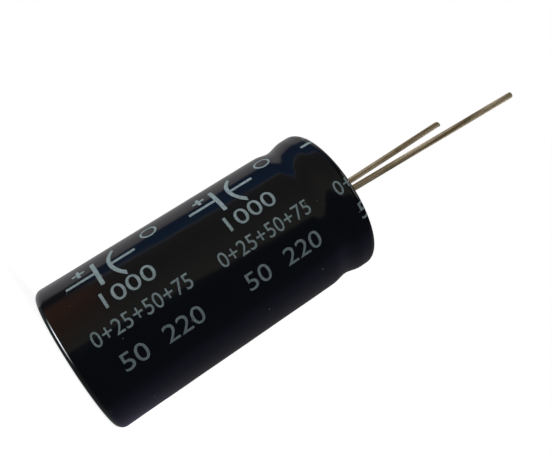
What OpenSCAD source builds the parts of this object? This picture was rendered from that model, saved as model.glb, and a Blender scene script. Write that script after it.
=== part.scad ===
// Radial aluminium electrolytic capacitor, in millimetres.
// It stands on its vented end, with Z up along its axis and the leads on top.
// The origin is the middle of the vented end, and the longer, positive lead is on +X.

/* [Can] */
// Outer diameter of the drawn can
can_d = 18; // [16:0.5:22]
// Height of the can over its rolled mouth
can_h = 36; // [30:0.5:45]
// Thickness of the can's sheet
can_t = 0.4; // [0.3:0.05:0.5]
// Outer radius of the corner at the closed end
floor_r = 0.9; // [0.7:0.1:1.5]
// Outer radius of the rolled mouth
roll_r = 0.95; // [0.8:0.05:1.1]
// Angle that the mouth is rolled through
roll_angle = 200; // [180:5:210]

/* [Bead] */
// Straight height of the head between the bead and the rolled mouth
head_h = 0.9; // [0.7:0.1:2]
// Depth of the bead in the can
bead_depth = 1.1; // [0.6:0.1:1.4]
// Width of the bead between its shoulders
bead_w = 4.2; // [3.2:0.2:4.6]
// Extra radius of the head between the bead and the mouth
head_flare = 0.12; // [0:0.02:0.2]

/* [Vent] */
// Length of each scored line across the closed end
vent_len = 11; // [8:0.5:12]
// Width of a scored line at the surface
vent_w = 0.7; // [0.4:0.1:1]
// Depth of a scored line
vent_depth = 0.22; // [0.1:0.02:0.24]

/* [Sleeve] */
// Thickness of the shrunk sleeve
sleeve_t = 0.15; // [0.09:0.02:0.19]
// How far the sleeve turns in over the vented end
sleeve_vent_lip = 1.9; // [1.6:0.1:2.2]
// How far the sleeve turns in over the rolled mouth
sleeve_seal_lip = 1.6; // [1.4:0.1:1.8]
// How deep the sleeve is drawn in over the bead
sleeve_dip = 0.3; // [0.1:0.05:0.5]

/* [Seal] */
// How far the seal reaches below the bead
seal_tail = 0.5; // [0.4:0.1:1.5]
// How far the outer face of the seal lies below the top of the can
seal_sink = 0.35; // [0.2:0.05:0.6]
// Thickness of rubber left over the pillars
seal_cover = 1.6; // [1.3:0.1:2.2]

/* [Leads] */
// Diameter of the tinned wire
lead_d = 0.8; // [0.6:0.1:1]
// Distance between the two leads
lead_pitch = 7.5; // [6.5:0.5:8.5]
// Length of the positive lead above the seating ring
anode_len = 27.5; // [15:0.5:35]
// Length of the negative lead above the seating ring
cathode_len = 20.8; // [10:0.2:30]
// Angle that the positive lead is bent sideways by
anode_bend = 2.2; // [0.5:0.1:6]
// Angle that the negative lead is bent outwards by
cathode_bend = 0.8; // [0.6:0.1:6]

/* [Tabs] */
// Diameter of the round pillar that seals in the rubber
pillar_d = 2.2; // [1.8:0.1:2.6]
// How far a pillar shows below the seal
pillar_below = 0.6; // [0.3:0.1:1]
// Length over which a pillar is pressed flat
press_len = 1.1; // [0.8:0.1:1.4]
// Width of the flat tab
tab_w = 2.6; // [2:0.1:3]
// Thickness of the flat tab
tab_t = 0.25; // [0.15:0.05:0.35]
// Free length of flat tab between the winding and the pressed part
tab_free = 0.6; // [0.4:0.1:2]
// Distance from a tab's end to the edge of its foil
tab_inset = 1.5; // [0.5:0.5:4]
// Holes where a tab is stitched to its foil
stitches = 5; // [3:1:7]
// Diameter of a stitch hole
stitch_d = 0.6; // [0.4:0.1:0.8]

/* [Winding] */
// Thickness of the etched positive foil
anode_foil_t = 0.1; // [0.08:0.01:0.14]
// Thickness of the negative foil
cathode_foil_t = 0.05; // [0.03:0.01:0.08]
// Thickness of one paper separator
paper_t = 0.05; // [0.04:0.01:0.08]
// Diameter of the hole that the winding mandrel leaves
core_d = 3.2; // [2.4:0.2:4]
// How far the papers stand past the foils at each end
paper_margin = 1; // [0.5:0.25:2]
// Angle that the papers are wound on before the foils start, and after they end
paper_lead = 300; // [180:12:720]
// Angle by which the negative foil reaches past each end of the positive foil
foil_lead = 60; // [24:12:180]
// Thickness of the closing tape
tape_t = 0.06; // [0.04:0.02:0.12]
// Width of the closing tape along the axis
tape_w = 18; // [10:1:20]
// Angle that the tape laps over its own start
tape_lap = 20; // [10:5:60]

/* [Fits] */
// Gap between the sleeve and the can
sleeve_fit = 0.02; // [0.01:0.01:0.05]
// Gap between the rubber and the metal that it grips
seal_fit = 0.03; // [0.02:0.01:0.06]
// Gap between a lead and the hole in the seal's cover
lead_fit = 0.05; // [0.03:0.01:0.1]
// Gap between two layers of the winding
layer_gap = 0.005; // [0.003:0.001:0.01]
// Gap between a tab and the layer wound over it
tab_fit = 0.03; // [0.02:0.01:0.05]
// Gap between the winding and the can's wall
winding_fit = 0.2; // [0.1:0.05:0.4]

/* [Hidden] */
$fn = 96;

// How finely the curved stretches of a section are drawn
corner_steps = 8;
roll_steps = 18;
bead_steps = 28;
// Points in one turn of the winding
turn_steps = 30;
turn_step = 360 / turn_steps;

// Heights along the axis
can_z0 = sleeve_t;
can_top = can_z0 + can_h;
roll_z = can_top - roll_r;
bead_z = roll_z - head_h - bead_w / 2;
seat_z = can_top + sleeve_fit + sleeve_t;
seal_z0 = bead_z - bead_w / 2 - seal_tail;
seal_top = can_top - seal_sink;
pillar_top = seal_top - seal_cover;
pillar_z0 = seal_z0 - pillar_below;
press_z0 = pillar_z0 - press_len;
paper_z0 = can_z0 + can_t;
paper_h = press_z0 - tab_free - paper_z0;
foil_z0 = paper_z0 + paper_margin;
foil_h = paper_h - 2 * paper_margin;

// Radii of the wall below the bead and of the head above it
wall_r = can_d / 2;
head_r = wall_r + head_flare;
roll_cr = head_r - roll_r;

// The weld between a wire and its pillar sits in a conical pocket of the rubber
weld_r = 0.75 * lead_d;
weld_h = 0.5;
pocket_h = 0.9;
tip_h = 0.15;
tip_r = 0.65 * lead_d / 2;

// Ball in the knee of a bent lead, a hair thicker than the wire
knee_r = lead_d / 2 + 0.005;

// Thickness of the two ends of the pressed part that are blended into each other
slice = 0.02;

// Rubber around the rolled edge
shoulder_gap = 0.06;
shoulder_z = roll_z + min(0, roll_r * sin(roll_angle)) - shoulder_gap;
plateau_r = roll_cr - roll_r - shoulder_gap;
edge = 0.25;

// The four wound strips from the inside out: positive foil, paper, negative foil, paper
strip_t = [anode_foil_t, paper_t, cathode_foil_t, paper_t];
strip_in = [
    0,
    anode_foil_t + layer_gap,
    anode_foil_t + paper_t + 2 * layer_gap,
    anode_foil_t + paper_t + cathode_foil_t + 3 * layer_gap,
];
turn_t = anode_foil_t + cathode_foil_t + 2 * paper_t + 4 * layer_gap;
bulge = tab_t + tab_fit;
bulge_flat = 30;
bulge_end = 80;

// Whole turns that fit in the can, with the tape and the bulge over a tab
turns = floor((wall_r - can_t - winding_fit - tape_t - bulge - core_d / 2) / turn_t - 1);
end_angle = 360 * turns;
foils_start = paper_lead;
foils_end = end_angle - paper_lead;

// A tab is wound in where its foil passes the height of its pillar
anode_tab_angle = 360 * round((lead_pitch / 2 - core_d / 2 - anode_foil_t) / turn_t);
cathode_tab_angle = 180 + 360 * round((lead_pitch / 2 - core_d / 2) / turn_t - 1);

// Points along an arc in the section, from angle a0 to a1 about c
function arc(c, r, a0, a1, steps) =
    [for (i = [0:steps]) let (a = a0 + (a1 - a0) * i / steps) c + r * [cos(a), sin(a)]];

// A smooth hollow, 1 in its middle and 0 from u = -1 and u = 1 outwards
function hollow(u) = abs(u) < 1 ? (1 + cos(180 * u)) / 2 : 0;

// A smooth rise from 0 to 1 across the bead
function rise(u) = u <= -1 ? 0 : u >= 1 ? 1 : (1 - cos(90 * (u + 1))) / 2;

// Points down a wall that is drawn in by depth over the bead
function beaded(depth, gap) =
    [for (i = [0:bead_steps])
        let (u = 2 * i / bead_steps - 1)
            [wall_r + gap + head_flare * rise(u) - depth * hollow(u), bead_z + u * bead_w / 2]];

// Left-hand unit normal of a path at point i
function normal(path, i) =
    let (a = path[max(i - 1, 0)], b = path[min(i + 1, len(path) - 1)], d = b - a)
        [-d[1], d[0]] / norm(d);

// The path moved to its left by t, which is towards the inside of the can
function inset(path, t) = [for (i = [0:len(path) - 1]) path[i] + t * normal(path, i)];

function reversed(path) = [for (i = [len(path) - 1:-1:0]) path[i]];

// A sheet of thickness t on the left of a path, turned about the axis
module turned_sheet(path, t) {
    rotate_extrude()
        polygon(concat(path, reversed(inset(path, t))));
}

// Outer skin of the can from the middle of its floor to the end of the rolled mouth
can_path = concat(
    [[0, can_z0]],
    arc([wall_r - floor_r, can_z0 + floor_r], floor_r, -90, 0, corner_steps),
    beaded(bead_depth, 0),
    arc([roll_cr, roll_z], roll_r, 0, roll_angle, roll_steps)
);

// Outer skin of the sleeve, which bridges the bead, and on which the can stands
sleeve_gap = sleeve_fit + sleeve_t;
sleeve_path = concat(
    [[wall_r - sleeve_vent_lip, 0]],
    arc([wall_r + sleeve_fit - floor_r, sleeve_t + floor_r], sleeve_t + floor_r, -90, 0, corner_steps),
    beaded(sleeve_dip, sleeve_gap),
    arc([roll_cr, roll_z], roll_r + sleeve_gap, 0, 90, corner_steps),
    [[head_r - sleeve_seal_lip, can_top + sleeve_gap]]
);

// Inner skin of the can along the seal, with the rubber's gap
seal_side = inset(
    concat([[wall_r, seal_z0 + edge]], beaded(bead_depth, 0), [[head_r, shoulder_z]]),
    can_t + seal_fit
);

module scored_line(angle) {
    translate([0, 0, can_z0])
        rotate([90, 0, angle])
            linear_extrude(height = vent_len, center = true)
                polygon([[-vent_w, -vent_depth], [vent_w, -vent_depth], [0, vent_depth]]);
}

module can() {
    color([0.78, 0.79, 0.8])
        difference() {
            turned_sheet(can_path, can_t);
            scored_line(0);
            scored_line(90);
        }
}

module sleeve() {
    color([0.03, 0.03, 0.05])
        turned_sheet(sleeve_path, sleeve_t);
}

// Stepped hole for a pillar, its weld and its wire
module seal_bore(x) {
    translate([x, 0, seal_z0 - 1])
        cylinder(h = pillar_top - seal_z0 + 1, d = pillar_d + 2 * seal_fit);
    translate([x, 0, pillar_top])
        cylinder(h = pocket_h, d1 = pillar_d + 2 * seal_fit, d2 = lead_d + 2 * lead_fit);
    translate([x, 0, pillar_top])
        cylinder(h = seal_cover + 1, d = lead_d + 2 * lead_fit);
}

module rubber_seal() {
    side_r = wall_r - can_t - seal_fit;
    color([0.13, 0.13, 0.13])
        difference() {
            rotate_extrude()
                polygon(concat(
                    [[0, seal_z0], [side_r - edge, seal_z0]],
                    seal_side,
                    [
                        [plateau_r, shoulder_z],
                        [plateau_r, seal_top - edge],
                        [plateau_r - edge, seal_top],
                        [0, seal_top],
                    ]
                ));
            seal_bore(lead_pitch / 2);
            seal_bore(-lead_pitch / 2);
        }
}

// A stretch of wire with its cut end
module wire_end(length) {
    cylinder(h = length - tip_h, d = lead_d);
    translate([0, 0, length - tip_h])
        cylinder(h = tip_h, r1 = lead_d / 2, r2 = tip_r);
}

// Weld foot and the straight wire up to height z
module wire_root(z) {
    translate([0, 0, pillar_top])
        cylinder(h = weld_h, r1 = weld_r, r2 = lead_d / 2);
    translate([0, 0, pillar_top])
        cylinder(h = z - pillar_top, d = lead_d);
}

// A lead bent by an angle where it leaves the body, towards +Y
module lead(length, bend) {
    color([0.62, 0.58, 0.5]) {
        wire_root(seat_z);
        translate([0, 0, seat_z]) {
            sphere(r = knee_r);
            rotate([-bend, 0, 0])
                wire_end(length);
        }
    }
}

module anode_lead() {
    translate([lead_pitch / 2, 0, 0])
        lead(anode_len, anode_bend);
}

module cathode_lead() {
    translate([-lead_pitch / 2, 0, 0])
        rotate(90)
            lead(cathode_len, cathode_bend);
}

// Radius of the winding's spiral at an angle counted from its start
function spiral(angle) = core_d / 2 + turn_t * angle / 360;

// Share of the bulge at an angle off the middle of a tab
function over_tab(off) =
    let (a = abs(off))
        a <= bulge_flat ? 1 : a >= bulge_end ? 0
            : (1 + cos(180 * (a - bulge_flat) / (bulge_end - bulge_flat))) / 2;

// Bulge of strip s over a tab that lies on strip tab_s at tab_angle
function lift(s, angle, tab_s, tab_angle) =
    let (off = angle - tab_angle, laps = round(off / 360))
        laps > 0 || (laps == 0 && s > tab_s) ? bulge * over_tab(off - 360 * laps) : 0;

// Inner radius of strip s at an angle
function strip_r(s, angle) =
    spiral(angle) + strip_in[s]
        + lift(s, angle, 0, anode_tab_angle) + lift(s, angle, 2, cathode_tab_angle);

function polar(r, angle) = [r * cos(angle), r * sin(angle)];

// Point on the flats of strip s at an angle, moved out by gap
function on_strip(s, gap, angle) =
    let (a = turn_step * floor(angle / turn_step), part = (angle - a) / turn_step, b = a + turn_step)
        (1 - part) * polar(strip_r(s, a) + gap, a) + part * polar(strip_r(s, b) + gap, b);

// Band of thickness t on strip s through a list of angles, moved out by gap
function band(s, gap, t, angles) = concat(
    [for (a = angles) on_strip(s, gap, a)],
    reversed([for (a = angles) on_strip(s, gap + t, a)])
);

function steps_between(a0, a1) =
    [for (i = [ceil(a0 / turn_step):floor(a1 / turn_step)]) i * turn_step];

module wound_strip(s, a0, a1) {
    linear_extrude(height = s % 2 == 0 ? foil_h : paper_h)
        polygon(band(s, 0, strip_t[s], steps_between(a0, a1)));
}

module anode_foil() {
    color([0.55, 0.56, 0.57])
        translate([0, 0, foil_z0])
            wound_strip(0, foils_start + foil_lead, foils_end - foil_lead);
}

module inner_paper() {
    color([0.82, 0.74, 0.58])
        translate([0, 0, paper_z0])
            wound_strip(1, 0, end_angle);
}

module cathode_foil() {
    color([0.72, 0.73, 0.74])
        translate([0, 0, foil_z0])
            wound_strip(2, foils_start, foils_end);
}

module outer_paper() {
    color([0.82, 0.74, 0.58])
        translate([0, 0, paper_z0])
            wound_strip(3, 0, end_angle);
}

// Inner radius of the tape, which steps down past the strips' ends onto its own start
function tape_r(angle) =
    strip_r(0, angle) - (angle > end_angle + 360 ? turn_t - tape_t - layer_gap : 0);

// The tape goes on where the strips end, once round and over its own start
module closing_tape() {
    angles = steps_between(end_angle + turn_step, end_angle + turn_step + 360 + tape_lap);
    inner = [for (a = angles) polar(tape_r(a), a)];
    outer = [for (a = angles) polar(tape_r(a) + tape_t, a)];
    color([0.6, 0.42, 0.18])
        translate([0, 0, foil_z0 + (foil_h - tape_w) / 2])
            linear_extrude(height = tape_w)
                polygon(concat(inner, reversed(outer)));
}

// Section of a flat tab that is stitched to the outside of strip s and bent with it
module tab_section(s, tab_angle) {
    half = asin(tab_w / 2 / (strip_r(s, tab_angle) + strip_t[s]));
    a0 = tab_angle - half;
    a1 = tab_angle + half;
    between = [for (a = steps_between(a0, a1)) if (a > a0 && a < a1) a];
    polygon(band(s, strip_t[s], tab_t, concat([a0], between, [a1])));
}

// Pillar, pressed part and flat tab, drawn from one piece of wire
module tab(s, tab_angle, x) {
    tab_z0 = foil_z0 + tab_inset;
    stitched_h = foil_h - 2 * tab_inset;
    color([0.8, 0.8, 0.8]) {
        difference() {
            translate([0, 0, tab_z0])
                linear_extrude(height = press_z0 - tab_z0)
                    tab_section(s, tab_angle);
            for (i = [0:stitches - 1])
                translate([0, 0, tab_z0 + stitched_h * (i + 0.5) / stitches])
                    rotate([0, 90, tab_angle])
                        cylinder(h = wall_r, d = stitch_d);
        }
        hull() {
            translate([0, 0, press_z0 - slice])
                linear_extrude(height = slice)
                    tab_section(s, tab_angle);
            translate([x, 0, pillar_z0])
                cylinder(h = slice, d = pillar_d - slice, $fn = 32);
        }
        translate([x, 0, pillar_z0])
            cylinder(h = pillar_top - pillar_z0, d = pillar_d);
    }
}

module anode_tab() {
    tab(0, anode_tab_angle, lead_pitch / 2);
}

module cathode_tab() {
    tab(2, cathode_tab_angle, -lead_pitch / 2);
}

can();
sleeve();
rubber_seal();
anode_lead();
cathode_lead();
anode_tab();
cathode_tab();
anode_foil();
inner_paper();
cathode_foil();
outer_paper();
closing_tape();
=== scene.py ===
import math

import bpy
from mathutils import Matrix, Vector


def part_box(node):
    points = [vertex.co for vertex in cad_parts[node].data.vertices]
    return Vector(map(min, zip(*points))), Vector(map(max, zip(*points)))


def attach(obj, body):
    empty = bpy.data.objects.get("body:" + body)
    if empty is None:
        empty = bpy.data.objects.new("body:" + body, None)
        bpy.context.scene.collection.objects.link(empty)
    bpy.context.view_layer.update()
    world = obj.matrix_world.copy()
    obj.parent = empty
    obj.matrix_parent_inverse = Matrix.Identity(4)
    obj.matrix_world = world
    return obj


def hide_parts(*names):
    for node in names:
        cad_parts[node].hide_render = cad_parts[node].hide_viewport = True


# Radial electrolytic capacitor: shrunk black film with pale print, and two tinned wires
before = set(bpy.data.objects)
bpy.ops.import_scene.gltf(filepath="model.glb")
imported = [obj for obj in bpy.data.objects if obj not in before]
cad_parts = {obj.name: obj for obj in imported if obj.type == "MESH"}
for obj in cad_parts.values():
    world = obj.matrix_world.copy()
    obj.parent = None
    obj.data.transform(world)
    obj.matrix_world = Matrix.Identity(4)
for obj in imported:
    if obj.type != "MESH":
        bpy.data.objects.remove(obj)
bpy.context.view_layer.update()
mm = 0.001
nearby = 0.001  # in mm: what lies this near to a place counts as at it
print("frame loaded with", len(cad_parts), "nodes")


def clearSelection():
    if bpy.context.object and bpy.context.object.mode != "OBJECT":
        bpy.ops.object.mode_set(mode="OBJECT")
    bpy.ops.object.select_all(action="DESELECT")


def pick(*pieces):
    clearSelection()
    for piece in pieces:
        piece.select_set(True)
    bpy.context.view_layer.objects.active = pieces[0]


def nameIt(name):
    piece = bpy.context.object
    piece.name = name
    piece.data.name = name
    return piece


def putPlaceInMesh(piece):
    pick(piece)
    bpy.ops.object.transform_apply(location=True, rotation=True, scale=True)


def finishWith(piece, kind, **settings):
    pick(piece)
    modifier = piece.modifiers.new(kind.title(), kind)
    for key, value in settings.items():
        setattr(modifier, key, value)
    bpy.ops.object.modifier_apply(modifier=modifier.name)


def selectVertices(piece, wanted):
    # Works on the piece in edit mode, by each vertex's place in mm
    bpy.ops.mesh.select_all(action="DESELECT")
    bpy.ops.object.mode_set(mode="OBJECT")
    for vertex in piece.data.vertices:
        vertex.select = wanted(vertex.co / mm)
    bpy.ops.object.mode_set(mode="EDIT")
    bpy.ops.mesh.select_mode(type="VERT")


def smoothUpTo(piece, degrees):
    pick(piece)
    bpy.ops.object.shade_smooth_by_angle(angle=math.radians(degrees))


# How far a value has come from start to end, from 0 to 1
def share(value, start, end):
    return min(1, max(0, (value - start) / (end - start)))


def blend(first, second, amount):
    return [f + amount * (s - f) for f, s in zip(first, second)]


# Rings of a turned piece: the open circle is extruded up and resized, ring by ring
def turnRings(name, sides, rings, x=0):
    clearSelection()
    radius, height = rings[0]
    bpy.ops.mesh.primitive_circle_add(
        vertices=sides, radius=radius * mm, fill_type="NOTHING", location=(x * mm, 0, height * mm))
    piece = nameIt(name)
    putPlaceInMesh(piece)
    bpy.ops.object.mode_set(mode="EDIT")
    bpy.ops.mesh.select_mode(type="EDGE")
    bpy.ops.mesh.select_all(action="SELECT")
    for nextRadius, nextHeight in rings[1:]:
        bpy.ops.mesh.extrude_edges_move(
            TRANSFORM_OT_translate={"value": (0, 0, (nextHeight - height) * mm)})
        growth = nextRadius / radius
        bpy.ops.transform.resize(value=(growth, growth, 1), center_override=(x * mm, 0, nextHeight * mm))
        radius, height = nextRadius, nextHeight
    return piece


# Materials. Sizes in a finish are in mm
firstColour, secondColour, mixedColour = 6, 7, 2  # sockets of a Mix node that blends colours


def hexColour(text):
    parts = [int(text[i:i + 2], 16) / 255 for i in (1, 3, 5)]
    return [p / 12.92 if p <= 0.04045 else ((p + 0.055) / 1.055) ** 2.4 for p in parts] + [1]


def addNode(tree, kind, settings=None, inputs=None, links=None):
    node = tree.nodes.new(kind)
    for key, value in (settings or {}).items():
        setattr(node, key, value)
    for key, value in (inputs or {}).items():
        node.inputs[key].default_value = value
    for key, source in (links or {}).items():
        tree.links.new(source, node.inputs[key])
    return node


# Scale of a texture whose detail has this size in mm
def scaleFor(size):
    return 1 / (size * mm)


def startMaterial(name, values):
    material = bpy.data.materials.new(name)
    material.use_nodes = True
    shader = material.node_tree.nodes["Principled BSDF"]
    for key, value in values.items():
        shader.inputs[key].default_value = value
    return material, material.node_tree, shader


filmFinish = {
    "ior": 1.53, "dark": "#050507", "light": "#09080B", "castSize": 9,
    "dustColour": "#6E6A68", "dustCell": 2, "dustEdge": {"From Min": 0.06, "From Max": 0.03},
    "dustAbove": 0.4, "dustDull": 0.45, "smearSize": 3,
    "roughness": {"From Min": 0.35, "From Max": 0.7, "To Min": 0.07, "To Max": 0.15},
    "hairTurn": (0.5, 0.35, 0.2), "hairSize": (0.25, 0.25, 16),
    "hairCut": {"From Min": 0.735, "From Max": 0.77, "To Min": 0, "To Max": -1},
    "peelSize": 1.6, "grainSize": 0.35, "grainRelief": 0.08, "hairRelief": 0.5, "dustRelief": 1.5,
    "bumpHeight": 0.006,
}


def makeSleeveFilm():
    # Shrunk PVC film, extruded and glossy: deep black with a faint plum cast, crisp reflections
    # that waver a little, a few dust specks and hair scratches
    look = filmFinish
    material, tree, shader = startMaterial("blackShrunkPvc", {"IOR": look["ior"]})
    place = addNode(tree, "ShaderNodeTexCoord").outputs["Object"]
    cast = addNode(tree, "ShaderNodeTexNoise", None, {"Scale": scaleFor(look["castSize"]), "Detail": 2},
                   {"Vector": place})
    base = addNode(tree, "ShaderNodeMix", {"data_type": "RGBA"},
                   {firstColour: hexColour(look["dark"]), secondColour: hexColour(look["light"])},
                   {0: cast.outputs["Fac"]})
    # Dust: in six cells of ten a grain up to 0.24 mm across, which shows where it meets the surface
    cells = addNode(tree, "ShaderNodeTexVoronoi", None, {"Scale": scaleFor(look["dustCell"])},
                    {"Vector": place})
    speck = addNode(tree, "ShaderNodeMapRange", None, look["dustEdge"],
                    {"Value": cells.outputs["Distance"]})
    cellDraw = addNode(tree, "ShaderNodeSeparateColor", None, None, {"Color": cells.outputs["Color"]})
    some = addNode(tree, "ShaderNodeMath", {"operation": "GREATER_THAN"}, {1: look["dustAbove"]},
                   {0: cellDraw.outputs[0]})
    dust = addNode(tree, "ShaderNodeMath", {"operation": "MULTIPLY"}, None,
                   {0: speck.outputs[0], 1: some.outputs[0]})
    colour = addNode(tree, "ShaderNodeMix", {"data_type": "RGBA"},
                     {secondColour: hexColour(look["dustColour"])},
                     {0: dust.outputs[0], firstColour: base.outputs[mixedColour]})
    tree.links.new(colour.outputs[mixedColour], shader.inputs["Base Color"])
    # Handling marks: broad faint smears in the gloss
    smear = addNode(tree, "ShaderNodeTexNoise", None,
                    {"Scale": scaleFor(look["smearSize"]), "Detail": 4, "Roughness": 0.6}, {"Vector": place})
    gloss = addNode(tree, "ShaderNodeMapRange", None, look["roughness"],
                    {"Value": smear.outputs["Fac"]})
    dull = addNode(tree, "ShaderNodeMath", {"operation": "MULTIPLY_ADD"}, {1: look["dustDull"]},
                   {0: dust.outputs[0], 2: gloss.outputs[0]})
    tree.links.new(dull.outputs[0], shader.inputs["Roughness"])
    # Hair scratches: noise drawn out 64 times along a slant, of which only the thin peaks are cut in
    slant = addNode(tree, "ShaderNodeMapping", None,
                    {"Rotation": look["hairTurn"], "Scale": [scaleFor(size) for size in look["hairSize"]]},
                    {"Vector": place})
    hairs = addNode(tree, "ShaderNodeTexNoise", None, {"Scale": 1, "Detail": 1}, {"Vector": slant.outputs[0]})
    line = addNode(tree, "ShaderNodeMapRange", None, look["hairCut"],
                   {"Value": hairs.outputs["Fac"]})
    # Film texture: soft orange peel and a finer grain
    peel = addNode(tree, "ShaderNodeTexNoise", None, {"Scale": scaleFor(look["peelSize"]), "Detail": 1},
                   {"Vector": place})
    grain = addNode(tree, "ShaderNodeTexNoise", None, {"Scale": scaleFor(look["grainSize"]), "Detail": 2},
                    {"Vector": place})
    relief = addNode(tree, "ShaderNodeMath", {"operation": "MULTIPLY_ADD"}, {1: look["grainRelief"]},
                     {0: grain.outputs["Fac"], 2: peel.outputs["Fac"]})
    withLines = addNode(tree, "ShaderNodeMath", {"operation": "MULTIPLY_ADD"}, {1: look["hairRelief"]},
                        {0: line.outputs[0], 2: relief.outputs[0]})
    raised = addNode(tree, "ShaderNodeMath", {"operation": "MULTIPLY_ADD"}, {1: look["dustRelief"]},
                     {0: dust.outputs[0], 2: withLines.outputs[0]})
    bump = addNode(tree, "ShaderNodeBump", None, {"Strength": 1, "Distance": look["bumpHeight"] * mm},
                   {"Height": raised.outputs[0]})
    tree.links.new(bump.outputs[0], shader.inputs["Normal"])
    return material


inkFinish = {
    "ior": 1.5, "dark": "#7E9093", "light": "#9BADB0",
    "mottleSize": 0.5, "mottleEdge": {"From Min": 0.3, "From Max": 0.7},
    "holeColour": "#2A2C30", "holeSize": 0.13, "holeEdge": {"From Min": 0.66, "From Max": 0.74},
    "roughness": {"To Min": 0.36, "To Max": 0.5}, "bumpStrength": 0.6, "bumpHeight": 0.004,
}


def makePrintInk():
    # Pale vinyl ink, screened on: satin, slightly mottled, with pinholes where the film shows through
    look = inkFinish
    material, tree, shader = startMaterial("paleScreenInk", {"IOR": look["ior"]})
    place = addNode(tree, "ShaderNodeTexCoord").outputs["Object"]
    mottle = addNode(tree, "ShaderNodeTexNoise", None, {"Scale": scaleFor(look["mottleSize"]), "Detail": 4},
                     {"Vector": place})
    tone = addNode(tree, "ShaderNodeMapRange", None, look["mottleEdge"], {"Value": mottle.outputs["Fac"]})
    body = addNode(tree, "ShaderNodeMix", {"data_type": "RGBA"},
                   {firstColour: hexColour(look["dark"]), secondColour: hexColour(look["light"])},
                   {0: tone.outputs[0]})
    dots = addNode(tree, "ShaderNodeTexNoise", None, {"Scale": scaleFor(look["holeSize"]), "Detail": 2},
                   {"Vector": place})
    hole = addNode(tree, "ShaderNodeMapRange", None, look["holeEdge"], {"Value": dots.outputs["Fac"]})
    ink = addNode(tree, "ShaderNodeMix", {"data_type": "RGBA"}, {secondColour: hexColour(look["holeColour"])},
                  {0: hole.outputs[0], firstColour: body.outputs[mixedColour]})
    tree.links.new(ink.outputs[mixedColour], shader.inputs["Base Color"])
    sheen = addNode(tree, "ShaderNodeMapRange", None, look["roughness"],
                    {"Value": mottle.outputs["Fac"]})
    tree.links.new(sheen.outputs[0], shader.inputs["Roughness"])
    bump = addNode(tree, "ShaderNodeBump", None,
                   {"Strength": look["bumpStrength"], "Distance": look["bumpHeight"] * mm},
                   {"Height": mottle.outputs["Fac"]})
    tree.links.new(bump.outputs[0], shader.inputs["Normal"])
    return material


wireFinish = {
    "metallic": 0.35, "dark": "#8C7857", "light": "#E2CFAD", "streakSize": (0.36, 0.36, 9),
    "cloudSize": 2.5, "cloudShare": 0.4, "toneEdge": {"From Min": 0.5, "From Max": 0.9},
    "roughness": {"From Min": 0.35, "From Max": 0.65, "To Min": 0.36, "To Max": 0.5},
    "bumpStrength": 0.3, "bumpHeight": 0.006,
}


def makeTinnedWire():
    # Tinned copper-clad steel, drawn through a die: dull brownish grey with soft streaks along the
    # wire, drawn 0.36 mm wide so that they show, and cloudy spots where the tin has dulled. The dull
    # skin of oxide scatters more than it mirrors, so the wire is only partly metallic
    look = wireFinish
    material, tree, shader = startMaterial("drawnTinnedWire", {"Metallic": look["metallic"]})
    place = addNode(tree, "ShaderNodeTexCoord").outputs["Object"]
    drawn = addNode(tree, "ShaderNodeMapping", None,
                    {"Scale": [scaleFor(size) for size in look["streakSize"]]}, {"Vector": place})
    streaks = addNode(tree, "ShaderNodeTexNoise", None, {"Scale": 1, "Detail": 0},
                      {"Vector": drawn.outputs[0]})
    clouds = addNode(tree, "ShaderNodeTexNoise", None, {"Scale": scaleFor(look["cloudSize"]), "Detail": 3},
                     {"Vector": place})
    both = addNode(tree, "ShaderNodeMath", {"operation": "MULTIPLY_ADD"}, {1: look["cloudShare"]},
                   {0: clouds.outputs["Fac"], 2: streaks.outputs["Fac"]})
    tone = addNode(tree, "ShaderNodeMapRange", None, look["toneEdge"], {"Value": both.outputs[0]})
    colour = addNode(tree, "ShaderNodeMix", {"data_type": "RGBA"},
                     {firstColour: hexColour(look["dark"]), secondColour: hexColour(look["light"])},
                     {0: tone.outputs[0]})
    tree.links.new(colour.outputs[mixedColour], shader.inputs["Base Color"])
    dull = addNode(tree, "ShaderNodeMapRange", None, look["roughness"],
                   {"Value": clouds.outputs["Fac"]})
    tree.links.new(dull.outputs[0], shader.inputs["Roughness"])
    bump = addNode(tree, "ShaderNodeBump", None,
                   {"Strength": look["bumpStrength"], "Distance": look["bumpHeight"] * mm},
                   {"Height": streaks.outputs["Fac"]})
    tree.links.new(bump.outputs[0], shader.inputs["Normal"])
    return material


def makeMetal(name, dark, light, lineSize, roughness, bumpHeight):
    # Aluminium sheet or foil: grey metal with lines or grain of the given size in mm
    material, tree, shader = startMaterial(name, {"Metallic": 1})
    place = addNode(tree, "ShaderNodeTexCoord").outputs["Object"]
    along = addNode(tree, "ShaderNodeMapping", None, {"Scale": [scaleFor(size) for size in lineSize]},
                    {"Vector": place})
    lines = addNode(tree, "ShaderNodeTexNoise", None, {"Scale": 1, "Detail": 4, "Roughness": 0.6},
                    {"Vector": along.outputs[0]})
    tone = addNode(tree, "ShaderNodeMapRange", None, {"From Min": 0.3, "From Max": 0.7},
                   {"Value": lines.outputs["Fac"]})
    colour = addNode(tree, "ShaderNodeMix", {"data_type": "RGBA"},
                     {firstColour: hexColour(dark), secondColour: hexColour(light)}, {0: tone.outputs[0]})
    tree.links.new(colour.outputs[mixedColour], shader.inputs["Base Color"])
    satin = addNode(tree, "ShaderNodeMapRange", None, {"To Min": roughness[0], "To Max": roughness[1]},
                    {"Value": tone.outputs[0]})
    tree.links.new(satin.outputs[0], shader.inputs["Roughness"])
    bump = addNode(tree, "ShaderNodeBump", None, {"Strength": 0.7, "Distance": bumpHeight * mm},
                   {"Height": lines.outputs["Fac"]})
    tree.links.new(bump.outputs[0], shader.inputs["Normal"])
    return material


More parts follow.
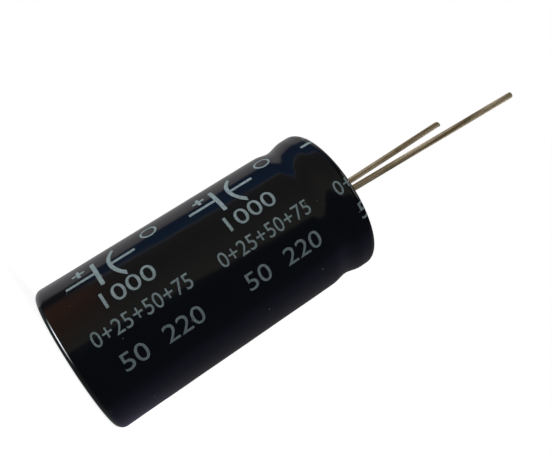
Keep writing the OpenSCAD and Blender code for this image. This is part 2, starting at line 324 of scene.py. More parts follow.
sealFinish = {
    "ior": 1.52, "dark": "#141415", "light": "#2B2A2A", "bloomSize": 2.2,
    "roughness": {"To Min": 0.62, "To Max": 0.85},
    "grainSize": 0.12, "bumpStrength": 0.6, "bumpHeight": 0.02,
}


def makeSealRubber():
    # Butyl rubber, moulded with a filler: near black, matt, with a fine grain and paler bloom
    look = sealFinish
    material, tree, shader = startMaterial("mouldedButylRubber", {"IOR": look["ior"]})
    place = addNode(tree, "ShaderNodeTexCoord").outputs["Object"]
    bloom = addNode(tree, "ShaderNodeTexNoise", None, {"Scale": scaleFor(look["bloomSize"]), "Detail": 5},
                    {"Vector": place})
    colour = addNode(tree, "ShaderNodeMix", {"data_type": "RGBA"},
                     {firstColour: hexColour(look["dark"]), secondColour: hexColour(look["light"])},
                     {0: bloom.outputs["Fac"]})
    tree.links.new(colour.outputs[mixedColour], shader.inputs["Base Color"])
    matt = addNode(tree, "ShaderNodeMapRange", None, look["roughness"],
                   {"Value": bloom.outputs["Fac"]})
    tree.links.new(matt.outputs[0], shader.inputs["Roughness"])
    grain = addNode(tree, "ShaderNodeTexNoise", None, {"Scale": scaleFor(look["grainSize"]), "Detail": 3},
                    {"Vector": place})
    bump = addNode(tree, "ShaderNodeBump", None,
                   {"Strength": look["bumpStrength"], "Distance": look["bumpHeight"] * mm},
                   {"Height": grain.outputs["Fac"]})
    tree.links.new(bump.outputs[0], shader.inputs["Normal"])
    return material


paperFinish = {
    "ior": 1.45, "dark": "#B49C6C", "light": "#D8C69C", "fibreSize": (0.35, 0.35, 0.12),
    "roughness": {"To Min": 0.4, "To Max": 0.7}, "bumpStrength": 0.5, "bumpHeight": 0.01,
}


def makeSoakedPaper():
    # Kraft separator paper, calendered and soaked: warm tan with fibres, slightly shiny where wet
    look = paperFinish
    material, tree, shader = startMaterial("soakedKraftPaper", {"IOR": look["ior"]})
    place = addNode(tree, "ShaderNodeTexCoord").outputs["Object"]
    lay = addNode(tree, "ShaderNodeMapping", None, {"Scale": [scaleFor(size) for size in look["fibreSize"]]},
                  {"Vector": place})
    fibres = addNode(tree, "ShaderNodeTexNoise", None,
                     {"Scale": 1, "Detail": 5, "Roughness": 0.7, "Distortion": 0.6},
                     {"Vector": lay.outputs[0]})
    colour = addNode(tree, "ShaderNodeMix", {"data_type": "RGBA"},
                     {firstColour: hexColour(look["dark"]), secondColour: hexColour(look["light"])},
                     {0: fibres.outputs["Fac"]})
    tree.links.new(colour.outputs[mixedColour], shader.inputs["Base Color"])
    wet = addNode(tree, "ShaderNodeMapRange", None, look["roughness"],
                  {"Value": fibres.outputs["Fac"]})
    tree.links.new(wet.outputs[0], shader.inputs["Roughness"])
    bump = addNode(tree, "ShaderNodeBump", None,
                   {"Strength": look["bumpStrength"], "Distance": look["bumpHeight"] * mm},
                   {"Height": fibres.outputs["Fac"]})
    tree.links.new(bump.outputs[0], shader.inputs["Normal"])
    return material


tapeFinish = {
    "ior": 1.49, "bubble": "#A9742F", "adhesive": "#8A5A20", "bubbleSize": 0.8,
    "roughness": {"To Min": 0.2, "To Max": 0.38}, "bumpStrength": 0.4, "bumpHeight": 0.01,
}


def makeClosingTape():
    # Polypropylene tape with a brown adhesive behind it: glossy amber with trapped bubbles
    look = tapeFinish
    material, tree, shader = startMaterial("amberPolypropyleneTape", {"IOR": look["ior"]})
    place = addNode(tree, "ShaderNodeTexCoord").outputs["Object"]
    bubbles = addNode(tree, "ShaderNodeTexVoronoi", {"feature": "SMOOTH_F1"},
                      {"Scale": scaleFor(look["bubbleSize"])}, {"Vector": place})
    colour = addNode(tree, "ShaderNodeMix", {"data_type": "RGBA"},
                     {firstColour: hexColour(look["bubble"]), secondColour: hexColour(look["adhesive"])},
                     {0: bubbles.outputs["Distance"]})
    tree.links.new(colour.outputs[mixedColour], shader.inputs["Base Color"])
    gloss = addNode(tree, "ShaderNodeMapRange", None, look["roughness"],
                    {"Value": bubbles.outputs["Distance"]})
    tree.links.new(gloss.outputs[0], shader.inputs["Roughness"])
    bump = addNode(tree, "ShaderNodeBump", None,
                   {"Strength": look["bumpStrength"], "Distance": look["bumpHeight"] * mm},
                   {"Height": bubbles.outputs["Distance"]})
    tree.links.new(bump.outputs[0], shader.inputs["Normal"])
    return material


sleeveFilm = makeSleeveFilm()
printInk = makePrintInk()
tinnedWire = makeTinnedWire()
soakedPaper = makeSoakedPaper()
drawnCan = makeMetal("drawnAluminiumCan", "#B7B9BB", "#D3D4D6", (0.08, 0.08, 3), (0.28, 0.42), 0.006)
pressedTab = makeMetal("pressedAluminiumTab", "#B4B6B8", "#CFD0D2", (0.07, 0.07, 1.5), (0.3, 0.45), 0.006)
etchedFoil = makeMetal("etchedAluminiumFoil", "#7D8083", "#9A9C9E", (0.06, 0.06, 0.06), (0.6, 0.8), 0.01)
rolledFoil = makeMetal("rolledAluminiumFoil", "#AEB0B3", "#C9CACC", (0.05, 0.05, 1), (0.32, 0.5), 0.004)
nodeFinishes = {
    "can": drawnCan, "rubber_seal": makeSealRubber(), "anode_tab": pressedTab, "cathode_tab": pressedTab,
    "anode_foil": etchedFoil, "inner_paper": soakedPaper, "cathode_foil": rolledFoil,
    "outer_paper": soakedPaper, "closing_tape": makeClosingTape(),
}
for nodeName, finish in nodeFinishes.items():
    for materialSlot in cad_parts[nodeName].material_slots:
        materialSlot.material = finish
print("materials made, CAD nodes dressed:", len(nodeFinishes))

# Sleeve, in mm: the film from its lip under the vented end to its lip over the rolled mouth
sleeveShape = {
    "sides": 180, "thickness": 0.15, "edgeRound": 0.03, "smoothUpTo": 35,
    "ventLipRadius": 7.1, "cornerRadius": 1.05, "cornerSteps": 8, "wallRadius": 9.17, "wallStep": 0.6,
    "waistStart": 30.1, "waistWidth": 4.2, "waistDepth": 0.3, "waistSteps": 28, "headFlare": 0.12,
    "rollRadius": 1.12, "rollSteps": 12, "mouthLipRadius": 7.52,
}
# The film wavers most over the bead, and lies flat on both lips: heights from the vented end and
# depths from the mouth between which it comes free
filmWaver = {
    "height": 0.12, "size": 3.5, "middle": 0.85, "wallShare": 0.25, "beadReach": 3,
    "freeAboveVent": (0.6, 3.6), "freeBelowMouth": (0.4, 2.4),
}


def arc(middle, radius, start, end, count):
    angles = [math.radians(start + (end - start) * i / count) for i in range(count + 1)]
    return [(middle[0] + radius * math.cos(a), middle[1] + radius * math.sin(a)) for a in angles]


# Smooth rise from 0 to 1, and back to 0 at 2
def swell(amount):
    return (1 - math.cos(math.pi * amount)) / 2


def sleeveRings(shape, top):
    wall, corner, roll = shape["wallRadius"], shape["cornerRadius"], shape["rollRadius"]
    rings = [(shape["ventLipRadius"], 0), ((shape["ventLipRadius"] + wall - corner) / 2, 0)]
    rings += arc((wall - corner, corner), corner, -90, 0, shape["cornerSteps"])
    wallHeight = shape["waistStart"] - corner
    wallCount = round(wallHeight / shape["wallStep"])
    rings += [(wall, corner + i / wallCount * wallHeight) for i in range(1, wallCount)]
    for i in range(shape["waistSteps"] + 1):
        along = i / shape["waistSteps"]
        radius = wall - shape["waistDepth"] * swell(2 * along) + shape["headFlare"] * swell(along)
        rings.append((radius, shape["waistStart"] + along * shape["waistWidth"]))
    headRadius = wall + shape["headFlare"]
    rings.append((headRadius, (rings[-1][1] + top - roll) / 2))
    rings += arc((headRadius - roll, top - roll), roll, 0, 90, shape["rollSteps"])
    rings.append(((headRadius - roll + shape["mouthLipRadius"]) / 2, top))
    rings.append((shape["mouthLipRadius"], top))
    return rings


def makeSleeve():
    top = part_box("sleeve")[1].z / mm
    piece = turnRings("sleeveFilm", sleeveShape["sides"], sleeveRings(sleeveShape, top))
    bpy.ops.mesh.select_all(action="SELECT")
    bpy.ops.mesh.normals_make_consistent(inside=False)
    bpy.ops.object.mode_set(mode="OBJECT")
    slack = piece.vertex_groups.new(name="slack")
    beadHeight = sleeveShape["waistStart"] + sleeveShape["waistWidth"] / 2
    for vertex in piece.data.vertices:
        height = vertex.co.z / mm
        overBead = 1 - share(abs(height - beadHeight), 0, filmWaver["beadReach"])
        free = share(height, *filmWaver["freeAboveVent"]) * share(top - height, *filmWaver["freeBelowMouth"])
        amount = filmWaver["wallShare"] + (1 - filmWaver["wallShare"]) * overBead
        slack.add([vertex.index], free * amount, "REPLACE")
    filmWaves = bpy.data.textures.new("filmWaves", "CLOUDS")
    filmWaves.noise_scale = filmWaver["size"] * mm
    filmWaves.noise_depth = 1
    finishWith(piece, "DISPLACE", texture=filmWaves, texture_coords="LOCAL", mid_level=filmWaver["middle"],
               strength=filmWaver["height"] * mm, vertex_group="slack")
    finishWith(piece, "SOLIDIFY", thickness=sleeveShape["thickness"] * mm, offset=-1)
    finishWith(piece, "BEVEL", width=sleeveShape["edgeRound"] * mm, segments=2, limit_method="ANGLE",
               angle_limit=math.radians(60))
    smoothUpTo(piece, sleeveShape["smoothUpTo"])
    piece.data.materials.append(sleeveFilm)
    return piece


sleevePiece = makeSleeve()
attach(sleevePiece, "root")
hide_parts("sleeve")
print("sleeve made:", len(sleevePiece.data.polygons), "faces")

# Print, in mm and degrees: x runs up the can and y is the way the characters' tops point. Each
# block of rows is turned a little further than the one below it
printShape = {
    "pitch": 15.4, "drift": 1.2, "blocks": 3, "cutBelow": 36.05, "leastShown": 0.2,
    "standOff": 0.012, "inkThickness": 0.012, "cutStep": 0.3, "headAlongStep": 0.25, "mergeWithin": 0.0005,
    "startAway": 1, "reach": 3, "barCorner": 0.2, "ringSides": 72, "textSize": 1.4, "smoothUpTo": 35,
}
# Polarised capacitor sign: two wires, a flat plate, a plus and a curved plate. Bars are x, y, length
# and width
signShape = {
    "bars": ((2.1, 0, 3.6, 0.42), (3.95, 0, 0.5, 4.3), (7.3, 0, 2.9, 0.42),
             (2.2, 1.55, 1.5, 0.38), (2.2, 1.55, 0.38, 1.5)),
    "curve": {"x": 8.9, "radius": 3.5, "width": 0.46}, "curveUpTo": 6.75,
}
# Stripe on the negative side: two long lines, minus bars, and chevrons that point at the short lead.
# Line, minus and arm are length and width
stripeShape = {
    "azimuth": 180, "alongStep": 0.4, "line": (32.2, 0.4), "lineMiddle": 17.4, "lineSide": 2.2,
    "marks": 4, "markPitch": 7.6, "minus": (0.62, 2.6), "minusStart": 5.2,
    "arm": (1.9, 0.4), "armStart": 8.9, "armSide": 0.62, "armTurn": 42,
}


def flatBar(x, y, length, width):
    clearSelection()
    bpy.ops.mesh.primitive_plane_add(size=mm)
    piece = nameIt("inkBar")
    bpy.ops.object.mode_set(mode="EDIT")
    bpy.ops.transform.resize(value=(length, width, 1))
    corner = min(length, width) * printShape["barCorner"]
    bpy.ops.mesh.bevel(offset=corner * mm, segments=3, affect="VERTICES")
    bpy.ops.object.mode_set(mode="OBJECT")
    piece.matrix_world = Matrix.Translation((x * mm, y * mm, 0))
    putPlaceInMesh(piece)
    return piece


def flatRing(x, radius, width, upTo=None):
    clearSelection()
    bpy.ops.mesh.primitive_circle_add(
        vertices=printShape["ringSides"], radius=radius * mm, fill_type="NGON", location=(x * mm, 0, 0))
    piece = nameIt("inkRing")
    putPlaceInMesh(piece)
    bpy.ops.object.mode_set(mode="EDIT")
    bpy.ops.mesh.select_all(action="SELECT")
    bpy.ops.mesh.inset(thickness=width * mm)
    bpy.ops.mesh.delete(type="FACE")
    if upTo is not None:
        bpy.ops.mesh.select_all(action="SELECT")
        bpy.ops.mesh.bisect(plane_co=(upTo * mm, 0, 0), plane_no=(1, 0, 0), clear_outer=True)
    bpy.ops.object.mode_set(mode="OBJECT")
    return piece


# Lowest and highest corner of a mesh, in metres
def corners(piece):
    return [Vector(pickOf(v.co[i] for v in piece.data.vertices) for i in range(3)) for pickOf in (min, max)]


def flatNumbers(x, y, body, length, height):
    # x and y are the lower left corner, and length and height the space that the characters fill
    clearSelection()
    bpy.ops.object.text_add()
    piece = nameIt("inkNumbers")
    piece.data.body = body
    piece.data.size = height * mm * printShape["textSize"]
    piece.data.resolution_u = 4
    bpy.ops.object.convert(target="MESH")
    piece = bpy.context.object
    low, high = corners(piece)
    stretch = (length * mm / (high.x - low.x), height * mm / (high.y - low.y))
    piece.matrix_world = (Matrix.Translation((x * mm, y * mm, 0)) @ Matrix.Diagonal((*stretch, 1, 1))
                          @ Matrix.Translation((-low.x, -low.y, 0)))
    putPlaceInMesh(piece)
    return piece


def joinFlat(pieces):
    pick(*pieces)
    if len(pieces) > 1:
        bpy.ops.object.join()
    return bpy.context.object


# A copy with its own mesh, moved along the row and turned about its own middle
def copyFlat(piece, x, y=0, turn=0):
    copy = piece.copy()
    copy.data = piece.data.copy()
    bpy.context.scene.collection.objects.link(copy)
    copy.matrix_world = Matrix.Translation((x * mm, y * mm, 0)) @ Matrix.Rotation(turn, 4, "Z")
    putPlaceInMesh(copy)
    return copy


# Even cuts between two places, none of them further apart than the step
def evenCuts(low, high, step):
    count = int((high - low) / step)
    return [low + (i + 1) * (high - low) / (count + 1) for i in range(count)]


# Cuts a flat row into cells, wraps it on the film at its azimuth and gives the ink its thickness
def layInk(piece, azimuth, alongStep=None):
    pick(piece)
    low, high = [corner / mm for corner in corners(piece)]
    bpy.ops.object.mode_set(mode="EDIT")
    cuts = [((0, y), (0, 1, 0)) for y in evenCuts(low.y, high.y, printShape["cutStep"])]
    if alongStep:
        cuts += [((x, 0), (1, 0, 0)) for x in evenCuts(low.x, high.x, alongStep)]
    for (x, y), way in cuts:
        bpy.ops.mesh.select_all(action="SELECT")
        bpy.ops.mesh.bisect(plane_co=(x * mm, y * mm, 0), plane_no=way)
    if high.x > printShape["cutBelow"]:
        bpy.ops.mesh.select_all(action="SELECT")
        bpy.ops.mesh.bisect(
            plane_co=(printShape["cutBelow"] * mm, 0, 0), plane_no=(1, 0, 0), clear_outer=True)
    bpy.ops.mesh.select_all(action="SELECT")
    bpy.ops.mesh.remove_doubles(threshold=printShape["mergeWithin"] * mm)
    bpy.ops.mesh.normals_make_consistent(inside=False)
    bpy.ops.object.mode_set(mode="OBJECT")
    a = math.radians(azimuth)
    outward = Vector((math.cos(a), math.sin(a), 0))
    tops = Vector((math.sin(a), -math.cos(a), 0))
    start = (sleeveShape["wallRadius"] + printShape["startAway"]) * mm
    turned = Matrix((Vector((0, 0, 1)), tops, outward)).transposed().to_4x4()
    piece.matrix_world = Matrix.Translation(outward * start) @ turned
    bpy.context.view_layer.update()
    finishWith(piece, "SHRINKWRAP", target=sleevePiece, wrap_method="PROJECT", use_project_z=True,
               use_negative_direction=True, use_positive_direction=False,
               project_limit=printShape["reach"] * mm, offset=printShape["standOff"] * mm)
    finishWith(piece, "SOLIDIFY", thickness=printShape["inkThickness"] * mm, offset=1)
    putPlaceInMesh(piece)
    return piece


def capacitorSign(x):
    bars = [flatBar(x + barX, y, length, width) for barX, y, length, width in signShape["bars"]]
    curve = signShape["curve"]
    bars.append(flatRing(x + curve["x"], curve["radius"], curve["width"], x + signShape["curveUpTo"]))
    return joinFlat(bars)


# The five rows of the first block, each with the azimuth of its middle line
flatRows = [
    (capacitorSign(3.2), -56.5),
    (flatRing(14.25, 1.05, 0.26), -66.5),
    (flatNumbers(6.1, -0.98, "1000", 6.3, 1.95), -32),
    (flatNumbers(3.1, -0.88, "0+25+50+75", 11.9, 1.75), -12.5),
    (flatNumbers(4.4, -1.02, "50  220", 9.9, 2.05), 10.5),
]


# The last block runs over the head, so it is cut along the can too
def markBlock(index):
    up = index * printShape["pitch"]
    alongStep = printShape["headAlongStep"] if index == printShape["blocks"] - 1 else None
    laid = []
    for flatRow, azimuth in flatRows:
        if up + corners(flatRow)[0].x / mm < printShape["cutBelow"] - printShape["leastShown"]:
            laid.append(layInk(copyFlat(flatRow, up), azimuth + index * printShape["drift"], alongStep))
    block = joinFlat(laid)
    block.name = block.data.name = "printBlock%d" % (index + 1)
    return block


def negativeStripe():
    shape = stripeShape
    line = flatBar(0, 0, *shape["line"])
    minus = flatBar(0, 0, *shape["minus"])
    arm = flatBar(0, 0, *shape["arm"])
    marks = [copyFlat(line, shape["lineMiddle"], side * shape["lineSide"]) for side in (-1, 1)]
    for i in range(shape["marks"]):
        up = i * shape["markPitch"]
        marks.append(copyFlat(minus, shape["minusStart"] + up))
        marks += [copyFlat(arm, shape["armStart"] + up, side * shape["armSide"],
                           -side * math.radians(shape["armTurn"])) for side in (-1, 1)]
    for master in (line, minus, arm):
        bpy.data.objects.remove(master)
    stripe = layInk(joinFlat(marks), shape["azimuth"], shape["alongStep"])
    stripe.name = stripe.data.name = "negativeStripe"
    return stripe


inkPieces = [markBlock(i) for i in range(printShape["blocks"])] + [negativeStripe()]
for flatRow in [row[0] for row in flatRows]:
    bpy.data.objects.remove(flatRow)
for inkPiece in inkPieces:
    smoothUpTo(inkPiece, printShape["smoothUpTo"])
    inkPiece.data.materials.clear()
    inkPiece.data.materials.append(printInk)
    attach(inkPiece, "root")
print("print laid:", [len(piece.data.polygons) for piece in inkPieces])

# Leads, in mm and degrees: each bend is the height at which it starts and its lean
longLead = {
    "name": "longLead", "node": "anode_lead", "x": 3.75, "length": 27.5, "axis": "X",
    "bends": ((36.2, 0.7), (36.32, 0.8), (36.45, 0.7), (44, 0.12), (53, -0.14)),
}
shortLead = {
    "name": "shortLead", "node": "cathode_lead", "x": -3.75, "length": 20.8, "axis": "Y",
    "bends": ((36.2, 0.3), (36.32, 0.2), (36.45, 0.3), (46, 0.1)),
}
# The foot is the weld in the rubber, as radius and height above the root. The cut end is the share
# of the radius and the depth below the tip. The cutter left a faint dimple in both ends, and the
# short lead's end slanted
wireShape = {
    "radius": 0.4, "sides": 32, "seat": 36.32, "root": 34.2, "ringStep": 0.5, "smoothUpTo": 50,
    "foot": ((0.6, 0), (0.582, 0.04), (0.432, 0.4), (0.4, 0.5)),
    "nearSeat": (35.6, 36.1, 36.2, 36.26, 36.32, 36.38, 36.45, 36.55),
    "cutEnd": ((1, 0.2), (0.985, 0.13), (0.93, 0.06), (0.8, 0.015), (0.62, 0)), "straightUpTo": 0.4,
    "dimpleEdge": 0.1, "dimpleDepth": 0.02, "slant": -16, "slantFrom": 0.25,
}


def makeLead(lead):
    radius, root = wireShape["radius"], wireShape["root"]
    tip = wireShape["seat"] + lead["length"]
    rings = [(footRadius, root + height) for footRadius, height in wireShape["foot"]]
    rings += [(radius, height) for height in wireShape["nearSeat"]]
    low, high = wireShape["nearSeat"][-1], tip - wireShape["straightUpTo"]
    count = round((high - low) / wireShape["ringStep"])
    rings += [(radius, low + (i + 1) * (high - low) / count) for i in range(count)]
    rings += [(radius * part, tip - depth) for part, depth in wireShape["cutEnd"]]
    piece = turnRings(lead["name"], wireShape["sides"], rings, lead["x"])
    bpy.ops.mesh.edge_face_add()
    bpy.ops.mesh.inset(thickness=wireShape["dimpleEdge"] * mm)
    bpy.ops.transform.translate(value=(0, 0, -wireShape["dimpleDepth"] * mm))
    selectVertices(piece, lambda place: place.z < root + nearby)
    bpy.ops.mesh.edge_face_add()
    bpy.ops.mesh.select_all(action="SELECT")
    bpy.ops.mesh.normals_make_consistent(inside=False)
    for height, lean in lead["bends"]:
        selectVertices(piece, lambda place: place.z > height - nearby)
        bpy.ops.transform.rotate(value=math.radians(lean), orient_axis=lead["axis"],
                                 center_override=(lead["x"] * mm, 0, height * mm))
    return piece


def slantEnd(wire, x):
    tip = max(v.co.z for v in wire.data.vertices) / mm
    selectVertices(wire, lambda place: place.z > tip - wireShape["slantFrom"])
    bpy.ops.transform.rotate(value=math.radians(wireShape["slant"]), orient_axis="X",
                             center_override=(x * mm, wireShape["radius"] * mm, tip * mm))


for lead in (longLead, shortLead):
    wire = makeLead(lead)
    if lead is shortLead:
        slantEnd(wire, lead["x"])
    bpy.ops.object.mode_set(mode="OBJECT")
    smoothUpTo(wire, wireShape["smoothUpTo"])
    wire.data.materials.append(tinnedWire)
    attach(wire, "root")
    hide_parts(lead["node"])
print("leads made")

# Floor and sky, in mm. The floor glows to white away from the object
floorShape = {"size": 6000, "below": 0.005, "white": "#AEAEAE", "glow": (0.85, 1), "glowReach": (40, 200)}
skyLevel = 0.1


def raysThatShowWhite(tree):
    path = addNode(tree, "ShaderNodeLightPath")
    some = addNode(tree, "ShaderNodeMath", {"operation": "ADD"}, None,
                   {0: path.outputs["Is Camera Ray"], 1: path.outputs["Is Glossy Ray"]})
    return addNode(tree, "ShaderNodeMath", {"operation": "ADD", "use_clamp": True}, None,
                   {0: some.outputs[0], 1: path.outputs["Is Transmission Ray"]}).outputs[0]


def startStageMaterial(name):
    material = bpy.data.materials.new(name)
    material.use_nodes = True
    tree = material.node_tree
    tree.nodes.remove(tree.nodes["Principled BSDF"])
    return material, tree, tree.nodes["Material Output"].inputs["Surface"]


def makeWhitePaper():
    material, tree, surface = startStageMaterial("plainWhitePaper")
    lit = addNode(tree, "ShaderNodeBsdfDiffuse", None, {"Color": hexColour(floorShape["white"])})
    place = addNode(tree, "ShaderNodeTexCoord").outputs["Object"]
    away = addNode(tree, "ShaderNodeVectorMath", {"operation": "LENGTH"}, None, {0: place})
    near, far = floorShape["glowReach"]
    nearGlow, farGlow = floorShape["glow"]
    whiter = addNode(tree, "ShaderNodeMapRange", None,
                     {"From Min": near * mm, "From Max": far * mm, "To Min": nearGlow, "To Max": farGlow},
                     {"Value": away.outputs["Value"]})
    glowLevel = addNode(tree, "ShaderNodeMath", {"operation": "MULTIPLY"}, None,
                        {0: raysThatShowWhite(tree), 1: whiter.outputs[0]})
    glow = addNode(tree, "ShaderNodeEmission", None, None, {"Strength": glowLevel.outputs[0]})
    paper = addNode(tree, "ShaderNodeAddShader", None, None, {0: lit.outputs[0], 1: glow.outputs[0]})
    tree.links.new(paper.outputs[0], surface)
    return material


clearSelection()
bpy.ops.mesh.primitive_plane_add(size=floorShape["size"] * mm, location=(0, 0, -floorShape["below"] * mm))
floor = nameIt("floor")
floor.data.materials.append(makeWhitePaper())

# Painted reflection tones of a dim room that only the gloss shows: daylight on a wall, wood, cloth and dusk,
# lit and shaded, and painted shade on the table beside the can
paintedReflectionTones = {
    "paleWall": "#AFADB1", "dimWall": "#959797", "shade": "#424245", "navy": "#354D70", "litNavy": "#486C9A",
    "paleFrame": "#9C9EA6", "darkWood": "#6C5A55", "wood": "#8B6E5F", "litWood": "#A27159",
    "greyCloth": "#696A6A", "sill": "#868680", "dusk": "#4D525B", "deepDusk": "#404551",
    "blueHaze": "#53576C", "plumHaze": "#69677E", "greyHaze": "#5C5D66", "brownShade": "#453F39",
    "tableShade": "#616969",
}
wallEnd = -63.4
# Each line is an edge in the painted reflection: the azimuth on the can where the camera sees it and its
# tone, first near the vented end and then near the leads
roomEdges = (
    (-97, "paleWall", -97, "dimWall"),
    (wallEnd, "paleWall", -65, "paleWall"),
    (-62.6, "shade", -63.6, "navy"),
    (-56, "shade", -47.6, "litNavy"),
    (-54, "darkWood", -46.2, "paleFrame"),
    (-52, "wood", -45, "greyCloth"),
    (-45, "litWood", -40, "greyCloth"),
    (-36, "wood", -34, "greyCloth"),
    (-15.5, "sill", -4, "sill"),
    (-14.5, "dusk", -3, "dusk"),
    (-7, "deepDusk", 0, "deepDusk"),
    (31, "deepDusk", 30, "deepDusk"),
    (38, "blueHaze", 38, "blueHaze"),
    (56, "plumHaze", 54, "greyHaze"),
    (84, "greyHaze", 84, "brownShade"),
)
# Rings of the room in mm: along the table from the can outwards, up the walls, and over the top.
# Between two heights on the can the colours and the edges change from their first values to their
# second ones, and overhead the edges drift on
roomShape = {
    "sides": 360, "innerRadii": (8.4, 8.93, 9, 9.1, 9.17), "firstGap": 0.2, "gapGrowth": 1.4, "gaps": 21,
    "tableHeight": 0.02, "wallDegrees": (2, 4, 7, 10, 13, 16, 20, 25, 30, 36, 43),
    "ceiling": ((230, 380), (90, 440)), "ceilingLevel": 0.3, "ceilingElevations": (45, 58),
    "colourHeights": (3, 9), "edgeHeights": (3, 28), "overheadHeights": (32, 72), "overheadDrift": 9,
}
# The glint is a painted highlight: a band glowing far above white on the table card beside the vented end,
# between two of the rings, that the film's corner mirrors as a thin white line
glintShape = {"radii": (8.95, 9.15), "azimuth": -27, "width": 24, "colour": (21, 22, 23.5), "sharpness": 3}
# The camera's place, rounded: azimuth in degrees, height and distance from the film in mm. Azimuths
# on the can are found to nearEnough degrees
roomView = {"azimuth": -7, "height": 7.6, "distance": 72, "nearEnough": 0.05}
tones = {name: hexColour(text)[:3] for name, text in paintedReflectionTones.items()}


# Where the film shows a spot of the room to the camera: azimuth and height in mm on the can.
# Halving steps find the azimuth at which the spot lies in the mirrored direction
def seenOnCan(spot):
    low, high = roomView["azimuth"] - 90, roomView["azimuth"] + 90
    while high - low > roomView["nearEnough"]:
        side = (low + high) / 2
        a = math.radians(side)
        out = Vector((spot.x - sleeveShape["wallRadius"] * math.cos(a),
                      spot.y - sleeveShape["wallRadius"] * math.sin(a)))
        lean = (math.degrees(math.atan2(out.y, out.x)) - side + 180) % 360 - 180
        if lean > side - roomView["azimuth"]:
            low = side
        else:
            high = side
    way = roomView["distance"] + out.length
    return low, (roomView["distance"] * spot.z + roomView["height"] * out.length) / way


def paintedReflectionColour(azimuth, height):
    colourShare = share(height, *roomShape["colourHeights"])
    edgeShare = share(height, *roomShape["edgeHeights"])
    drift = roomShape["overheadDrift"] * share(height, *roomShape["overheadHeights"])
    edges = [(low + edgeShare * (high - low) + drift, blend(tones[first], tones[second], colourShare))
             for low, first, high, second in roomEdges]
    for (start, first), (end, second) in zip(edges, edges[1:]):
        if azimuth <= end:
            return blend(first, second, share(azimuth, start, end))
    return edges[-1][1]


# Painted reflection colour of the room card at a place in mm, with a painted darker ceiling, painted table
# shade beside the can and the painted glint
def paintAt(place):
    around = math.hypot(place.x, place.y)
    azimuth = math.degrees(math.atan2(place.y, place.x))
    elevation = math.degrees(math.atan2(place.z, around))
    # Painted shade: the card darkens overhead, so the rolled head mirrors little
    dimming = 1 - (1 - roomShape["ceilingLevel"]) * share(elevation, *roomShape["ceilingElevations"])
    colour = [c * dimming for c in paintedReflectionColour(*seenOnCan(place))]
    # Beside the can the card takes the wall's tone, or painted table shade past the wall's end
    if around < sleeveShape["wallRadius"] + nearby:
        colour = paintedReflectionColour(azimuth, 0) if azimuth < wallEnd else tones["tableShade"]
    # Painted glint: the band brightens towards its middle azimuth
    if glintShape["radii"][0] < around < glintShape["radii"][1]:
        glint = max(0, 1 - ((azimuth - glintShape["azimuth"]) / glintShape["width"]) ** 2)
        colour = blend(colour, glintShape["colour"], glint ** glintShape["sharpness"])
    return (*colour, 1)


def makePaintedReflectionCard():
    # A card that glows though it is no lamp, shown only in the gloss: its vertex colours are painted
    # reflections
    material, tree, surface = startStageMaterial("paintedReflectionCard")
    painted = addNode(tree, "ShaderNodeAttribute", {"attribute_name": "paintedReflectionColour"})
    shine = addNode(tree, "ShaderNodeEmission", None, {"Strength": 1}, {"Color": painted.outputs["Color"]})
    tree.links.new(shine.outputs[0], surface)
    return material


def makeRoom():
    tableRadii = list(roomShape["innerRadii"])
    tableRadii += [sleeveShape["wallRadius"] + roomShape["firstGap"] * roomShape["gapGrowth"] ** i
                   for i in range(roomShape["gaps"] + 1)]
    rings = [(radius, roomShape["tableHeight"]) for radius in tableRadii]
    rings += [(tableRadii[-1], tableRadii[-1] * math.tan(math.radians(degrees)))
              for degrees in roomShape["wallDegrees"]]
    rings += roomShape["ceiling"]
    piece = turnRings("room", roomShape["sides"], rings)
    bpy.ops.object.mode_set(mode="OBJECT")
    paint = piece.data.color_attributes.new("paintedReflectionColour", "FLOAT_COLOR", "POINT")
    for vertex, spot in zip(piece.data.vertices, paint.data):
        spot.color = paintAt(vertex.co / mm)
    piece.data.materials.append(makePaintedReflectionCard())
    piece.visible_camera = piece.visible_diffuse = piece.visible_shadow = False
    piece.visible_transmission = piece.visible_volume_scatter = False
    return piece


room = makeRoom()

# Soft lamps, in mm, degrees and watts. They light the object, and the room card's painted reflections give
# the gloss what it mirrors. The third stands close, so that it lights the leads most
lamps = (
    {"name": "keyLamp", "power": 0.062, "size": 70,
     "azimuth": -77, "elevation": 9, "distance": 100, "aim": 16},
    {"name": "fillLamp", "power": 0.7, "size": 240,
     "azimuth": 132, "elevation": 35, "distance": 340, "aim": 20},
    {"name": "leadLamp", "power": 0.032, "size": 50,
     "azimuth": 74, "elevation": 22, "distance": 85, "aim": 60},
)


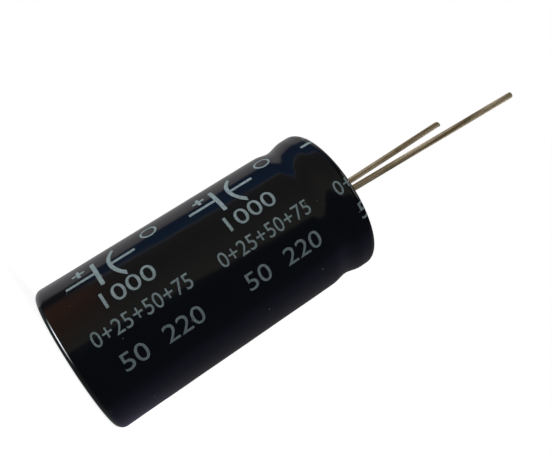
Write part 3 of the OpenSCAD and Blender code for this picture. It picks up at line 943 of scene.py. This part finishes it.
def addLamp(shape):
    a, e = math.radians(shape["azimuth"]), math.radians(shape["elevation"])
    way = Vector((math.cos(a) * math.cos(e), math.sin(a) * math.cos(e), math.sin(e)))
    lamp = bpy.data.lights.new(shape["name"], "AREA")
    lamp.energy = shape["power"]
    lamp.size = shape["size"] * mm
    lampObject = bpy.data.objects.new(shape["name"], lamp)
    bpy.context.scene.collection.objects.link(lampObject)
    lampObject.location = (Vector((0, 0, shape["aim"])) + way * shape["distance"]) * mm
    lampObject.rotation_mode = "QUATERNION"
    lampObject.rotation_quaternion = way.to_track_quat("Z", "Y")
    lampObject.visible_glossy = False
    lampObject.visible_camera = False


for lampShape in lamps:
    addLamp(lampShape)


def makeSky():
    world = bpy.data.worlds.new("studio")
    bpy.context.scene.world = world
    world.use_nodes = True
    tree = world.node_tree
    softSky = tree.nodes["Background"]
    softSky.inputs["Color"].default_value = (1, 1, 1, 1)
    softSky.inputs["Strength"].default_value = skyLevel
    whiteSky = addNode(tree, "ShaderNodeBackground", None, {"Color": (1, 1, 1, 1), "Strength": 1})
    sky = addNode(tree, "ShaderNodeMixShader", None, None,
                  {0: raysThatShowWhite(tree), 1: softSky.outputs[0], 2: whiteSky.outputs[0]})
    tree.links.new(sky.outputs[0], tree.nodes["World Output"].inputs["Surface"])


makeSky()
print("floor, room and lights set")

# Camera, in mm and radians, from the perspective fitted to the photograph's outline
cameraShape = {
    "place": (80.467, -10.094, 7.657), "target": (-0.091, -0.726, 28.261), "roll": 0.9976, "lens": 44.06,
    "sensor": 36, "clip": (5, 20000),
}


def addCamera(shape):
    place = Vector(shape["place"])
    forward = (Vector(shape["target"]) - place).normalized()
    level = forward.cross(Vector((0, 0, 1))).normalized()
    above = level.cross(forward)
    right = math.cos(shape["roll"]) * level + math.sin(shape["roll"]) * above
    up = -math.sin(shape["roll"]) * level + math.cos(shape["roll"]) * above
    camera = bpy.data.cameras.new("camera")
    camera.sensor_width = shape["sensor"]
    camera.lens = shape["lens"]
    camera.clip_start, camera.clip_end = [distance * mm for distance in shape["clip"]]
    cameraObject = bpy.data.objects.new("camera", camera)
    bpy.context.scene.collection.objects.link(cameraObject)
    turned = Matrix((right, up, -forward)).transposed().to_4x4()
    cameraObject.matrix_world = Matrix.Translation(place * mm) @ turned
    bpy.context.scene.camera = cameraObject


addCamera(cameraShape)
bpy.context.scene.view_settings.view_transform = "Standard"

clearSelection()
